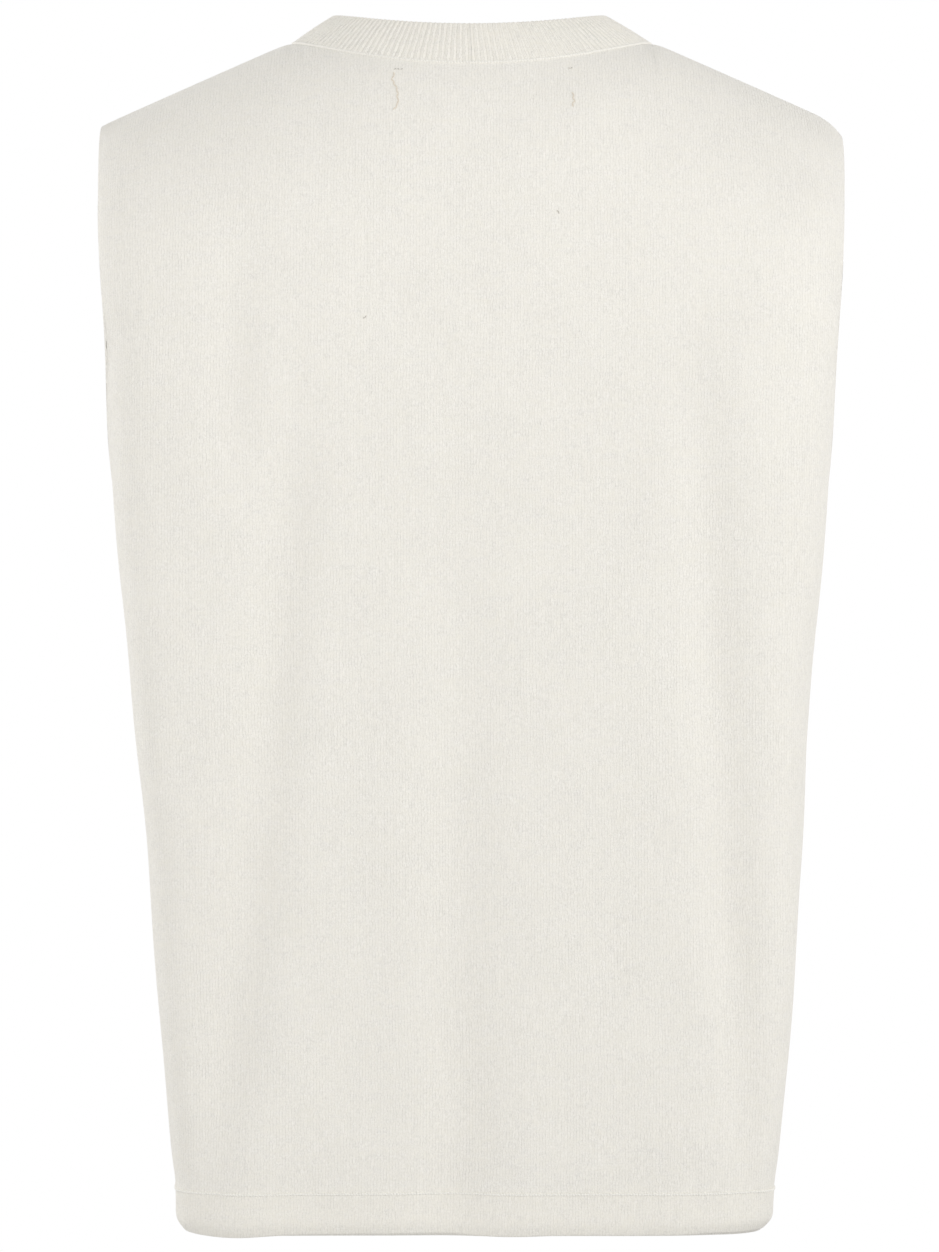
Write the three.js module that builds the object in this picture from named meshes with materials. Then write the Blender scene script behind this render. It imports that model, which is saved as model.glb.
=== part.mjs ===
// A sleeveless knitted vest, filled out as if worn, with nobody in it.
//
// Millimetres, +Z up. The origin lies midway between the two high shoulder points, where the
// shoulder lines meet the neckband and the garment rests on its wearer. The chest faces -Y, the
// back faces +Y, and +X is the wearer's left.
//
// Five pieces are cut and linked together: a back, a front, one rib neckband and a doubled hem
// band for each panel. Each is a closed wall of cloth. The outer faces follow one body form,
// worked out from the section table, and the inner faces lie one cloth thickness inside it.

import * as THREE from "three";

// Driving dimensions
const LENGTH = 654; // high shoulder point to hem edge
const NECK_HALF = 100; // half of the neck seam's width
const BACK_NECK_DROP = 19;
const FRONT_NECK_DROP = 76;
const SHOULDER_HALF = 207; // half of the width across the shoulder tips
const SHOULDER_SLOPE = 0.4425; // fall for each millimetre outwards
const UNDERARM_DOWN = 262; // high shoulder point to the foot of the armhole
const CLOTH = 2; // thickness of the single knit
const HEM_HEIGHT = 22.5;
const HEM_CLOTH = 2.6; // the doubled hem band
const BAND_CLOTH = 3; // the doubled rib neckband
const SEAM_GAP = 0.3; // clearance between pieces where they are linked

// The neckband's free edge, then how the band stands on the panels' neck edges
const COLLAR = {
  half: 75.5,
  sideRise: 16,
  back: { depth: 60, rise: 4.6 },
  front: { depth: 69, rise: -49 },
};
const COLLAR_DIP = 1.7; // power of the free edge's fall from the sides to the centre
const COLLAR_SWELL = 0.4; // how far the band bows outwards at mid-height
const BAND_LIFT = 0.75; // clearance between the band's foot and the neck edges
const BAND_PROUD = 0.2; // the grooves between its ribs stand proud of the panels' faces
const RIBS = 180; // knit ribs round the neckband
const RIB_RELIEF = 0.6; // ridge to groove

// Shape of the shoulders and neck edges
const NECK_SCOOP = 2.1; // power of the neck seam's curve
const NECK_CROWN = 12; // the shoulder line's rise between the high shoulder points
const NECK_EASE = 4.5; // radius that eases the shoulder line in towards the neckband
const TIP_ROUND = {
  left: { from: 202, drop: 0.4 }, // the wearer's left tip is crisp, the right one rounded
  right: { from: 188, drop: 5.8 },
};
const DOME = { back: 120, front: 112 }; // height over which the cloth turns over the shoulder
const DOME_POWER = { centre: 3, side: 2 }; // superellipse power of that turn
const DOME_EASE = 135; // how far out from the centre line the power falls
const ARMHOLE_STRAIGHT_DOWN = 150; // the armhole edge closes towards the side seam from here
const ARMHOLE_INSET = 5; // from the side seam's line to the armhole edge above that

// Level sections of the body. down: below the high shoulder points; half: half width at the side
// seams, which the armholes cut off above the underarm; back, front: depth behind and in front of
// the side seams; sway: sideways shift of the centre; square: superellipse power of the back half.
const SECTIONS = [
  { down: 0, half: 212, back: 84, front: 68, sway: -1.2, square: 5 },
  { down: 47, half: 212, back: 92, front: 76, sway: -1.2, square: 5 },
  { down: 90, half: 209.6, back: 98, front: 86, sway: -1.2, square: 5.4 },
  { down: 155, half: 205.5, back: 102, front: 102, sway: -1, square: 6 },
  { down: 222, half: 198.7, back: 101, front: 112, sway: -0.4, square: 7 },
  { down: 290, half: 194.2, back: 97, front: 112, sway: -0.8, square: 8.5 },
  { down: 356, half: 185.7, back: 94, front: 110, sway: -1, square: 9 },
  { down: 424, half: 179.6, back: 92, front: 106, sway: -1.9, square: 9 },
  { down: 492, half: 175.9, back: 90, front: 102, sway: -1.9, square: 9 },
  { down: 560, half: 171.5, back: 90, front: 98, sway: -3.2, square: 9 },
  { down: 624, half: 165.8, back: 91, front: 95, sway: -2.9, square: 9 },
  { down: 640, half: 164.8, back: 91, front: 94.5, sway: -2.6, square: 8.5 },
  { down: 648, half: 163.8, back: 91, front: 94.2, sway: -2.5, square: 8 },
  { down: 654, half: 159.5, back: 89, front: 92.5, sway: -2.4, square: 7.5 },
];
const FRONT_SQUARE = 3; // superellipse power of the front half

// Hanging folds, as troughs in the cloth, or ridges where the depth is negative. from, to: down
// from the high shoulder points; atFrom, atTo: place along the cloth from the centre line, towards
// +X; bow: sideways sway halfway; depth: at its deepest; width: half width of the trough; deepest:
// share of the way down.
const FOLDS = {
  back: [
    { from: 115, to: 690, atFrom: 91, atTo: 152, bow: -10, depth: 6.4, width: 11, deepest: 0.38 },
    { from: 390, to: 675, atFrom: 113, atTo: 152, bow: -3, depth: 5, width: 12, deepest: 0.66 },
    { from: 130, to: 670, atFrom: 69, atTo: 130, bow: -10, depth: -2.4, width: 12, deepest: 0.45 },
    { from: 150, to: 690, atFrom: 4, atTo: 13, bow: 0, depth: 5.2, width: 13, deepest: 0.45 },
    { from: 420, to: 680, atFrom: 9, atTo: 13, bow: 0, depth: 5.6, width: 12, deepest: 0.76 },
    { from: 110, to: 690, atFrom: -118, atTo: -152, bow: 0, depth: 7, width: 11, deepest: 0.35 },
    { from: 360, to: 680, atFrom: -134, atTo: -151, bow: 0, depth: 5.6, width: 10, deepest: 0.66 },
    { from: 80, to: 300, atFrom: 121, atTo: 121, bow: 7, depth: 4.4, width: 9, deepest: 0.5 },
  ],
  front: [
    { from: 210, to: 710, atFrom: 74, atTo: 112, bow: 6, depth: 7, width: 17, deepest: 0.85 },
    { from: 250, to: 720, atFrom: -18, atTo: -34, bow: -5, depth: 6, width: 19, deepest: 0.9 },
    { from: 185, to: 700, atFrom: -112, atTo: -156, bow: 7, depth: 6.5, width: 15, deepest: 0.7 },
    { from: 130, to: 300, atFrom: -142, atTo: -128, bow: 3, depth: 3.5, width: 10, deepest: 0.5 },
    { from: 120, to: 330, atFrom: 150, atTo: 136, bow: -4, depth: 4, width: 10, deepest: 0.5 },
  ],
};
const HEM_PINCH = { depth: 0.9, reach: 9 }; // the linked hem seam draws the cloth in
const SIDE_FADE = 0.08; // share of a panel's half width over which folds die out at its side seam
const TOP_FADE = 40; // height over which folds die out below the shoulder and neck seams

// How finely the solids are divided
const NECK_COLUMNS = 11; // from the centre line to the neck corner
const SHOULDER_COLUMNS = 10; // from the neck corner to the armhole edge
const ROWS_ABOVE_UNDERARM = 12;
const ROWS_BELOW_UNDERARM = 11;
const HEM_ROWS = [0, 0.27, 0.6, 1]; // shares of the hem's height, the edge turning in below 0.27
const COLUMN_SPREAD = 130; // height below the top edge over which columns spread out evenly
const COLUMN_GATHER = 0.45; // columns past this share of the half width give way to the armhole
const SECTION_STEPS = 96;
const SEAM_STEPS = 24; // points on a quarter of the neckband's two edges
const BAND_ROWS = { outer: [0, 0.45, 0.92], inner: [0.9, 0] }; // shares of the band's height
const NUDGE = 1e-3; // step for measuring slopes

const WOOL = { color: 0xefece2, roughness: 0.95, metalness: 0 };
const RIB_WOOL = { color: 0xebe7dc, roughness: 0.95, metalness: 0 };

const mix = (a, b, t) => a + (b - a) * t;
const clamp = (t, low = 0, high = 1) => Math.min(high, Math.max(low, t));
const smooth = (t) => clamp(t) ** 2 * (3 - 2 * clamp(t));

// One column of the section table at a height, on a smooth curve through its rows
function sectionValue(column, z) {
  const down = clamp(-z, 0, LENGTH);
  const last = SECTIONS.length - 1;
  let i = SECTIONS.findIndex((row) => row.down >= down) - 1;
  i = clamp(i, 0, last - 1);
  const [a, b] = [SECTIONS[i], SECTIONS[i + 1]];
  const slope = (k) => {
    const [p, q] = [SECTIONS[Math.max(k - 1, 0)], SECTIONS[Math.min(k + 1, last)]];
    return (q[column] - p[column]) / (q.down - p.down);
  };
  const span = b.down - a.down;
  const t = (down - a.down) / span;
  const [t2, t3] = [t * t, t * t * t];
  return (
    (2 * t3 - 3 * t2 + 1) * a[column] +
    (t3 - 2 * t2 + t) * span * slope(i) +
    (3 * t2 - 2 * t3) * b[column] +
    (t3 - t2) * span * slope(i + 1)
  );
}

// Height of the shoulder line, which carries on as a low crown between the high shoulder points
function shoulderLine(x) {
  const out = Math.abs(x) - NECK_HALF;
  if (out < 0) return NECK_CROWN * (1 - (x / NECK_HALF) ** 2);
  const { from, drop } = x > 0 ? TIP_ROUND.left : TIP_ROUND.right;
  const tip = Math.max(0, (Math.abs(x) - from) / (SHOULDER_HALF - from));
  const fall = SHOULDER_SLOPE * (Math.hypot(out, NECK_EASE) - NECK_EASE);
  return -fall - drop * tip ** 3;
}

// Height of a panel's upper edge: the neck seam between the high shoulder points, then the shoulder
function upperEdge(side, x) {
  const drop = side === "back" ? BACK_NECK_DROP : FRONT_NECK_DROP;
  const share = Math.abs(x) / NECK_HALF;
  return share < 1 ? -drop * (1 - share ** NECK_SCOOP) : shoulderLine(x);
}

// Share of the section's depth that the cloth has reached below the shoulder line
function domeShare(side, x, z) {
  const below = clamp((shoulderLine(x) - z) / DOME[side]);
  const power = mix(DOME_POWER.centre, DOME_POWER.side, smooth(Math.abs(x) / DOME_EASE));
  return (1 - (1 - below) ** power) ** (1 / power);
}

// Share of the armhole's whole width that is open at a height: its foot is part of an ellipse
function openShare(z) {
  const t = clamp((-z - ARMHOLE_STRAIGHT_DOWN) / (UNDERARM_DOWN - ARMHOLE_STRAIGHT_DOWN));
  return Math.sqrt(1 - t ** 2);
}

// Blend of two points of a section
const between = (a, b, t) => ({ x: mix(a.x, b.x, t), y: mix(a.y, b.y, t), run: mix(a.run, b.run, t) });

// A level section from the centre line to the side seam's line, with the length run so far, and the
// run at which the panel ends
function halfSection(side, z) {
  const half = sectionValue("half", z);
  const depth = sectionValue(side, z);
  const power = side === "back" ? sectionValue("square", z) : FRONT_SQUARE;
  const points = [];
  for (let i = 0; i <= SECTION_STEPS; i++) {
    const angle = ((i / SECTION_STEPS) * Math.PI) / 2;
    const x = half * Math.sin(angle) ** (2 / power);
    const y = depth * Math.max(0, Math.cos(angle)) ** (2 / power);
    const before = points[i - 1] ?? { x, y, run: 0 };
    points.push({ x, y, run: before.run + Math.hypot(x - before.x, y - before.y) });
  }
  const fullRun = points[SECTION_STEPS].run;
  const widest = readSection({ points }, "x", half - ARMHOLE_INSET).run;
  return { points, fullRun, sideRun: mix(fullRun, widest, openShare(z)) };
}

// Reads a half section where x or run, which grow outwards, has a given value
function readSection({ points }, known, value) {
  const found = points.findIndex((p) => p[known] >= value);
  const i = found < 0 ? points.length - 1 : Math.max(found, 1);
  const [a, b] = [points[i - 1], points[i]];
  return between(a, b, clamp((value - a[known]) / (b[known] - a[known])));
}

// Length along a section from the centre line to a column. Its share is 1 at the panel's side.
function columnRun({ fullRun, sideRun }, share) {
  const gathered = Math.max(0, (share - COLUMN_GATHER) / (1 - COLUMN_GATHER));
  return fullRun * share - (fullRun - sideRun) * gathered ** 2;
}

// The share whose column lies at a given run: columnRun turned round
function shareAtRun({ fullRun, sideRun }, run) {
  const past = run - fullRun * COLUMN_GATHER;
  if (past <= 0) return run / fullRun;
  const bend = (fullRun - sideRun) / (1 - COLUMN_GATHER) ** 2;
  const root = Math.sqrt(Math.max(0, fullRun ** 2 - 4 * bend * past));
  return Math.min(1, COLUMN_GATHER + (fullRun - root) / (2 * bend));
}

// Where the panel's upper edge passes a given x: its share of the way to the side, and its height
function edgePlace(side, xTop) {
  const top = upperEdge(side, xTop);
  const section = halfSection(side, top);
  const atSide = Math.abs(xTop) >= SHOULDER_HALF;
  const share = atSide ? 1 : shareAtRun(section, readSection(section, "x", Math.abs(xTop)).run);
  return { share: Math.sign(xTop) * share, top };
}

// Inward depth of the folds at a place along the cloth, measured from the centre line
function foldDepth(side, along, z) {
  let total = 0;
  for (const fold of FOLDS[side]) {
    const t = (-z - fold.from) / (fold.to - fold.from);
    if (t <= 0 || t >= 1) continue;
    const centre = mix(fold.atFrom, fold.atTo, t) + fold.bow * 4 * t * (1 - t);
    const swell = t < fold.deepest ? smooth(t / fold.deepest) : smooth((1 - t) / (1 - fold.deepest));
    total += fold.depth * swell * Math.exp(-0.5 * ((along - centre) / fold.width) ** 2);
  }
  const fromSeam = (z + LENGTH - HEM_HEIGHT) / HEM_PINCH.reach;
  return total + HEM_PINCH.depth * Math.exp(-0.5 * fromSeam ** 2);
}

// A point on a panel without folds: share is -1 to 1 across it, z its height
function bodyPoint(side, share, z) {
  const section = halfSection(side, z);
  const level = readSection(section, "run", columnRun(section, Math.abs(share)));
  const x = Math.sign(share) * level.x;
  const y = Math.max(SEAM_GAP / 2, level.y * domeShare(side, x, z));
  return new THREE.Vector3(x, side === "back" ? y : -y, z);
}

// Direction out of the cloth at a place on a panel. On a seam it lies in the seam's own plane.
function bodyNormal(side, share, z, top) {
  const low = Math.min(z, top - NUDGE) - NUDGE;
  const outwards = share < 0 ? -1 : 1;
  const near = share - outwards * NUDGE;
  const here = bodyPoint(side, near, low);
  const across = bodyPoint(side, near - outwards * NUDGE, low).sub(here);
  const up = bodyPoint(side, near, low + NUDGE).sub(here);
  const normal = up.cross(across).multiplyScalar(outwards).normalize();
  if (side === "back") normal.negate();
  return normal;
}

// Moves a point of the body form out of the cloth by a distance, with the folds taken in
function clothPoint(side, share, z, top, out) {
  const along = Math.sign(share) * columnRun(halfSection(side, z), Math.abs(share));
  const sideFade = 1 - smooth((Math.abs(share) - 1 + SIDE_FADE) / SIDE_FADE);
  const topFade = smooth((top - z) / TOP_FADE);
  const point = bodyPoint(side, share, z);
  const normal = bodyNormal(side, share, z, top);
  if (Math.abs(point.y) <= SEAM_GAP) normal.setY(0).normalize();
  point.addScaledVector(normal, out - foldDepth(side, along, z) * sideFade * topFade);
  point.x += sectionValue("sway", z);
  return point;
}

// Closed mesh through loops of equal length. Each loop runs up the outer face and down the inner
// one. A wrapped loft joins its last loop to its first; otherwise both ends are capped. Each quad
// is split along its shorter diagonal.
function loft(loops, wrapped) {
  const [count, size] = [loops.length, loops[0].length];
  const points = loops.flat();
  const index = [];
  const quad = (a, b, c, d) => {
    const across = points[a].distanceTo(points[c]) > points[b].distanceTo(points[d]);
    index.push(...(across ? [a, b, d, b, c, d] : [a, b, c, a, c, d]));
  };
  for (let i = 0; i < (wrapped ? count : count - 1); i++) {
    const [here, next] = [i * size, ((i + 1) % count) * size];
    for (let j = 0; j < size; j++) {
      const k = (j + 1) % size;
      quad(here + j, next + j, next + k, here + k);
    }
  }
  if (!wrapped) {
    const end = (count - 1) * size;
    for (let j = 0; j < size / 2 - 1; j++) {
      const [a, b, c, d] = [j, j + 1, size - 2 - j, size - 1 - j];
      quad(a, b, c, d);
      quad(end + d, end + c, end + b, end + a);
    }
  }
  const geometry = new THREE.BufferGeometry();
  const positions = points.flatMap((p) => [p.x, p.y, p.z]);
  geometry.setAttribute("position", new THREE.Float32BufferAttribute(positions, 3));
  geometry.setIndex(index);
  geometry.computeVertexNormals();
  return geometry;
}

// The columns of a panel from -X to +X. They are placed round the neck seam by its angle and
// evenly along the shoulder, and spread out evenly below. place gives the share at a height.
function panelColumns(side) {
  const [neck, all] = [NECK_COLUMNS, NECK_COLUMNS + SHOULDER_COLUMNS];
  const columns = [];
  for (let i = -all; i <= all; i++) {
    const onNeck = NECK_HALF * Math.sin((Math.min(Math.abs(i), neck) / neck) * (Math.PI / 2));
    const pastNeck = Math.max(0, Math.abs(i) - neck) / SHOULDER_COLUMNS;
    const x = Math.sign(i) * (onNeck + pastNeck * (SHOULDER_HALF - NECK_HALF));
    const { share, top } = edgePlace(side, x);
    const place = (z) => mix(share, i / all, smooth((top - z) / COLUMN_SPREAD));
    columns.push({ place, top });
  }
  return columns;
}

// A strip of a panel as loops from one side to the other, at the heights given for a column's top
function panelLoops(side, heights, out, thickness) {
  const loops = panelColumns(side).map(({ place, top }) => {
    const rows = heights(top);
    const outer = rows.map((z) => clothPoint(side, place(z), z, top, out));
    const inner = rows.map((z) => clothPoint(side, place(z), z, top, out - thickness));
    return [...outer, ...inner.reverse()];
  });
  return side === "back" ? loops.reverse() : loops;
}

// The back or front: from the hem seam to the neck seam and shoulders, armhole edges at its sides.
// Rows crowd towards the underarm and the shoulder, where the cloth turns.
function bodyPanel(side) {
  const foot = -LENGTH + HEM_HEIGHT + SEAM_GAP / 2;
  const heights = (top) => {
    const rows = [];
    for (let j = 0; j < ROWS_BELOW_UNDERARM; j++) {
      rows.push(mix(foot, -UNDERARM_DOWN, j / ROWS_BELOW_UNDERARM));
    }
    for (let j = 0; j <= ROWS_ABOVE_UNDERARM; j++) {
      const share = (1 - Math.cos((Math.PI * j) / ROWS_ABOVE_UNDERARM)) / 2;
      rows.push(mix(-UNDERARM_DOWN, top, share));
    }
    return rows;
  };
  return loft(panelLoops(side, heights, 0, CLOTH), false);
}

// The doubled band below a panel's hem seam
function hemBand(side) {
  const [foot, head] = [-LENGTH, -LENGTH + HEM_HEIGHT - SEAM_GAP / 2];
  const heights = () => HEM_ROWS.map((share) => mix(foot, head, share));
  const out = (HEM_CLOTH - CLOTH) / 2;
  return loft(panelLoops(side, heights, out, HEM_CLOTH), false);
}

// A closed curve round the neck, from the centre back by way of +X. place gives its point at an
// angle's side of the garment, sine and cosine.
function neckRing(place) {
  const points = [];
  for (let i = 0; i < 4 * SEAM_STEPS; i++) {
    const angle = ((i / SEAM_STEPS) * Math.PI) / 2;
    const [sine, cosine] = [Math.sin(angle), Math.cos(angle)];
    points.push(place(cosine > 0 ? "back" : "front", sine, cosine));
  }
  return new THREE.CatmullRomCurve3(points, true, "centripetal");
}

// The panels' neck edges, moved out of the cloth by a distance
function neckSeam(out) {
  return neckRing((side, sine) => {
    const { share, top } = edgePlace(side, NECK_HALF * sine);
    return clothPoint(side, share, top, top, out);
  });
}

// The neckband's free edge
function collarEdge() {
  return neckRing((side, sine, cosine) => {
    const z = mix(COLLAR.sideRise, COLLAR[side].rise, Math.abs(cosine) ** COLLAR_DIP);
    return new THREE.Vector3(COLLAR.half * sine, COLLAR[side].depth * cosine, z);
  });
}

// The rib neckband: ribs stand out of its outer face, and its inner face is plain
function neckband() {
  const outerSeam = neckSeam(BAND_PROUD);
  const innerSeam = neckSeam(BAND_PROUD - BAND_CLOTH);
  const edge = collarEdge();
  const count = 2 * RIBS;
  const loops = [];
  for (let i = 0; i < count; i++) {
    const t = outerSeam.getUtoTmapping(i / count);
    const outerFoot = outerSeam.getPoint(t);
    const innerFoot = innerSeam.getPoint(t);
    const head = edge.getPointAt(i / count);
    const rise = head.clone().sub(outerFoot).normalize();
    const out = rise.clone().cross(outerSeam.getTangent(t)).normalize();
    const innerHead = head.clone().addScaledVector(out, -BAND_CLOTH);
    const relief = i % 2 ? 0 : RIB_RELIEF;
    const at = (foot, top, share, depth) => {
      const lift = rise.clone().multiplyScalar(BAND_LIFT * (1 - share));
      const bow = COLLAR_SWELL * 4 * share * (1 - share);
      return foot.clone().lerp(top, share).add(lift).addScaledVector(out, bow + depth);
    };
    const outer = BAND_ROWS.outer.map((share) => at(outerFoot, head, share, relief));
    const lip = at(outerFoot, head, 1, -BAND_CLOTH / 2);
    const inner = BAND_ROWS.inner.map((share) => at(innerFoot, innerHead, share, 0));
    loops.unshift([...outer, lip, ...inner]);
  }
  return loft(loops, true);
}

function piece(name, geometry, look) {
  const mesh = new THREE.Mesh(geometry, new THREE.MeshStandardMaterial(look));
  mesh.name = name;
  return mesh;
}

const vest = new THREE.Group();
vest.add(
  piece("back_panel", bodyPanel("back"), WOOL),
  piece("front_panel", bodyPanel("front"), WOOL),
  piece("neckband", neckband(), RIB_WOOL),
  piece("hem_back", hemBand("back"), WOOL),
  piece("hem_front", hemBand("front"), WOOL),
);

export default vest;
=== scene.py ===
# A sleeveless knitted vest in brushed off-white wool, filled out and empty inside.
#
# Metres, +Z up. The origin lies midway between the two high shoulder points. The chest faces -Y,
# the back faces +Y, and +X is the vest's own left. The picture shows the back.
#
# Every cloth piece lies on the form of the solid that it replaces: level sections of the body,
# a shoulder line, a neck seam, armholes and hanging folds, each from a short table below.

import math
from typing import NamedTuple

import bpy
import numpy as np
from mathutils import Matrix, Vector


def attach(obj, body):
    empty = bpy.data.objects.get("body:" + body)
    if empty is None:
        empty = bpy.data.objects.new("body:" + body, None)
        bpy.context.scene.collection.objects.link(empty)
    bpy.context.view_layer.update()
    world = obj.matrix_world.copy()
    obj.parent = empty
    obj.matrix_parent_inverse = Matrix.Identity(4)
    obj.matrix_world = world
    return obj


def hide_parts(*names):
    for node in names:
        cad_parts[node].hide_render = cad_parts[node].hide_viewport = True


bl_info = {
    "name": "Knitted Vest",
    "version": (1, 0, 0),
    "blender": (4, 5, 0),
    "location": "View3D > Sidebar > Knitted Vest",
    "description": "Builds the cloth, seams and studio of a sleeveless knitted vest",
    "category": "Mesh",
}

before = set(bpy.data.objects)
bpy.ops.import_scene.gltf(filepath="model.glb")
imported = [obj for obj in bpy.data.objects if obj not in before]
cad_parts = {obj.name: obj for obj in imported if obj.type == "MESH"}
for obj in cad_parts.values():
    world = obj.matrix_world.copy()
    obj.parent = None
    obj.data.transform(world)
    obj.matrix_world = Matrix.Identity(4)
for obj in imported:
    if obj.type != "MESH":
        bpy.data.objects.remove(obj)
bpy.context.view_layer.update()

# Cut of the garment
LENGTH = 0.654  # high shoulder point to hem edge
NECK_HALF = 0.100  # half of the neck seam's width
NECK_DROP = {"back": 0.019, "front": 0.076}
NECK_SCOOP = 2.1  # power of the neck seam's curve
SHOULDER_HALF = 0.207  # half of the width across the shoulder tips
SHOULDER_SLOPE = 0.4425  # fall for each metre outwards
UNDERARM_DOWN = 0.262
HEM_HEIGHT = 0.0225
SEAM_GAP = 0.0003

# The neckband's free edge, then how the band stands on the panels' neck edges
COLLAR = {
    "half": 0.0755,
    "side_rise": 0.016,
    "back": {"depth": 0.060, "rise": 0.0046},
    "front": {"depth": 0.069, "rise": -0.049},
}
COLLAR_DIP = 1.7  # power of the free edge's fall from the sides to the centre
COLLAR_SWELL = 0.0004  # how far the band bows outwards at mid-height
BAND_PROUD = 0.0002

# Shape of the shoulders and armholes
NECK_CROWN = 0.012  # the shoulder line's rise between the high shoulder points
NECK_EASE = 0.0045  # rounds the shoulder line where it meets the neckband
TIP_ROUND = {  # how far out each shoulder tip starts to fall away, and how far it falls
    "left": {"start": 0.202, "drop": 0.0004},
    "right": {"start": 0.188, "drop": 0.0058},
}
DOME = {"back": 0.120, "front": 0.112}  # height over which the cloth turns over the shoulder
DOME_POWER = {"centre": 3.0, "side": 2.0}  # superellipse power of that turn
DOME_EASE = 0.135  # how far out from the centre line the power falls
ARMHOLE_STRAIGHT_DOWN = 0.150  # the armhole edge closes towards the side seam from here
ARMHOLE_INSET = 0.005  # from the side seam's line to the armhole edge above that
COLUMN_GATHER = 0.45  # share of the half width past which the cloth gives way to the armhole

# Level sections of the body. down: below the high shoulder points; half: half width at the side
# seams; back, front: depth behind and in front of them; sway: sideways shift of the centre;
# square: superellipse power of the back half.
SECTION_COLUMNS = ("down", "half", "back", "front", "sway", "square")
SECTIONS = (
    (0.000, 0.2120, 0.0840, 0.0680, -0.0012, 5.0),
    (0.047, 0.2120, 0.0920, 0.0760, -0.0012, 5.0),
    (0.090, 0.2096, 0.0980, 0.0860, -0.0012, 5.4),
    (0.155, 0.2055, 0.1020, 0.1020, -0.0010, 6.0),
    (0.222, 0.1987, 0.1010, 0.1120, -0.0004, 7.0),
    (0.290, 0.1942, 0.0970, 0.1120, -0.0008, 8.5),
    (0.356, 0.1857, 0.0940, 0.1100, -0.0010, 9.0),
    (0.424, 0.1796, 0.0920, 0.1060, -0.0019, 9.0),
    (0.492, 0.1759, 0.0900, 0.1020, -0.0019, 9.0),
    (0.560, 0.1715, 0.0900, 0.0980, -0.0032, 9.0),
    (0.624, 0.1658, 0.0910, 0.0950, -0.0029, 9.0),
    (0.640, 0.1648, 0.0910, 0.0945, -0.0026, 8.5),
    (0.648, 0.1638, 0.0910, 0.0942, -0.0025, 8.0),
    (0.654, 0.1595, 0.0890, 0.0925, -0.0024, 7.5),
)
FRONT_SQUARE = 3.0  # superellipse power of the front half


class Fold(NamedTuple):
    """A soft trough in the cloth, or a ridge where the depth is negative."""

    start: float  # down from the high shoulder points
    end: float
    at_start: float  # along the cloth from the centre line, towards +X
    at_end: float
    bow: float  # sideways sway halfway
    depth: float
    width: float  # half width of the trough
    deepest: float  # share of the way down


# The main hanging folds, which the solids have too
FOLDS = {
    "back": (
        Fold(0.115, 0.690, 0.091, 0.152, -0.010, 0.0064, 0.011, 0.38),
        Fold(0.390, 0.675, 0.113, 0.152, -0.003, 0.0050, 0.012, 0.66),
        Fold(0.130, 0.670, 0.069, 0.130, -0.010, -0.0024, 0.012, 0.45),
        Fold(0.150, 0.690, 0.004, 0.013, 0.000, 0.0052, 0.013, 0.45),
        Fold(0.420, 0.680, 0.009, 0.013, 0.000, 0.0056, 0.012, 0.76),
        Fold(0.110, 0.690, -0.118, -0.152, 0.000, 0.0070, 0.011, 0.35),
        Fold(0.360, 0.680, -0.134, -0.151, 0.000, 0.0056, 0.010, 0.66),
        Fold(0.080, 0.300, 0.121, 0.121, 0.007, 0.0044, 0.009, 0.50),
    ),
    "front": (
        Fold(0.210, 0.710, 0.074, 0.112, 0.006, 0.0070, 0.017, 0.85),
        Fold(0.250, 0.720, -0.018, -0.034, -0.005, 0.0060, 0.019, 0.90),
        Fold(0.185, 0.700, -0.112, -0.156, 0.007, 0.0065, 0.015, 0.70),
        Fold(0.130, 0.300, -0.142, -0.128, 0.003, 0.0035, 0.010, 0.50),
        Fold(0.120, 0.330, 0.150, 0.136, -0.004, 0.0040, 0.010, 0.50),
    ),
}

# Slighter creases and dimples
CREASES = {
    "back": (
        Fold(0.100, 0.200, 0.150, 0.215, 0.0, 0.0018, 0.016, 0.60),
        Fold(0.300, 0.560, 0.216, 0.206, 0.004, 0.0014, 0.012, 0.50),
        Fold(0.360, 0.640, 0.052, 0.066, 0.003, 0.0012, 0.012, 0.60),
        Fold(0.330, 0.620, -0.064, -0.078, -0.004, 0.0011, 0.013, 0.55),
        Fold(0.205, 0.250, -0.098, -0.088, 0.0, 0.0011, 0.007, 0.50),
        Fold(0.400, 0.700, 0.108, 0.124, 0.0, -0.0010, 0.010, 0.70),
        Fold(0.420, 0.700, -0.030, -0.026, 0.0, -0.0010, 0.010, 0.70),
        Fold(0.560, 0.690, -0.118, -0.132, 0.0, 0.0016, 0.009, 0.70),
        Fold(0.540, 0.720, 0.124, 0.136, 0.0, -0.0022, 0.015, 0.60),
        Fold(0.590, 0.740, 0.178, 0.182, 0.0, 0.0020, 0.016, 0.60),
        Fold(0.052, 0.100, -0.170, -0.206, 0.0, 0.0012, 0.012, 0.50),
    ),
    "front": (
        Fold(0.122, 0.190, 0.140, 0.232, 0.0, 0.0024, 0.011, 0.55),
        Fold(0.118, 0.176, -0.146, -0.238, 0.0, 0.0020, 0.012, 0.60),
        Fold(0.350, 0.640, 0.030, 0.038, 0.003, 0.0013, 0.012, 0.60),
        Fold(0.300, 0.600, -0.070, -0.078, -0.003, 0.0012, 0.013, 0.50),
        Fold(0.380, 0.680, -0.200, -0.206, 0.003, 0.0020, 0.011, 0.60),
        Fold(0.340, 0.660, 0.178, 0.186, 0.002, 0.0018, 0.012, 0.55),
        Fold(0.150, 0.300, 0.020, 0.034, 0.004, 0.0009, 0.012, 0.50),
        Fold(0.560, 0.690, -0.092, -0.086, 0.0, 0.0014, 0.009, 0.70),
    ),
}

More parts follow.
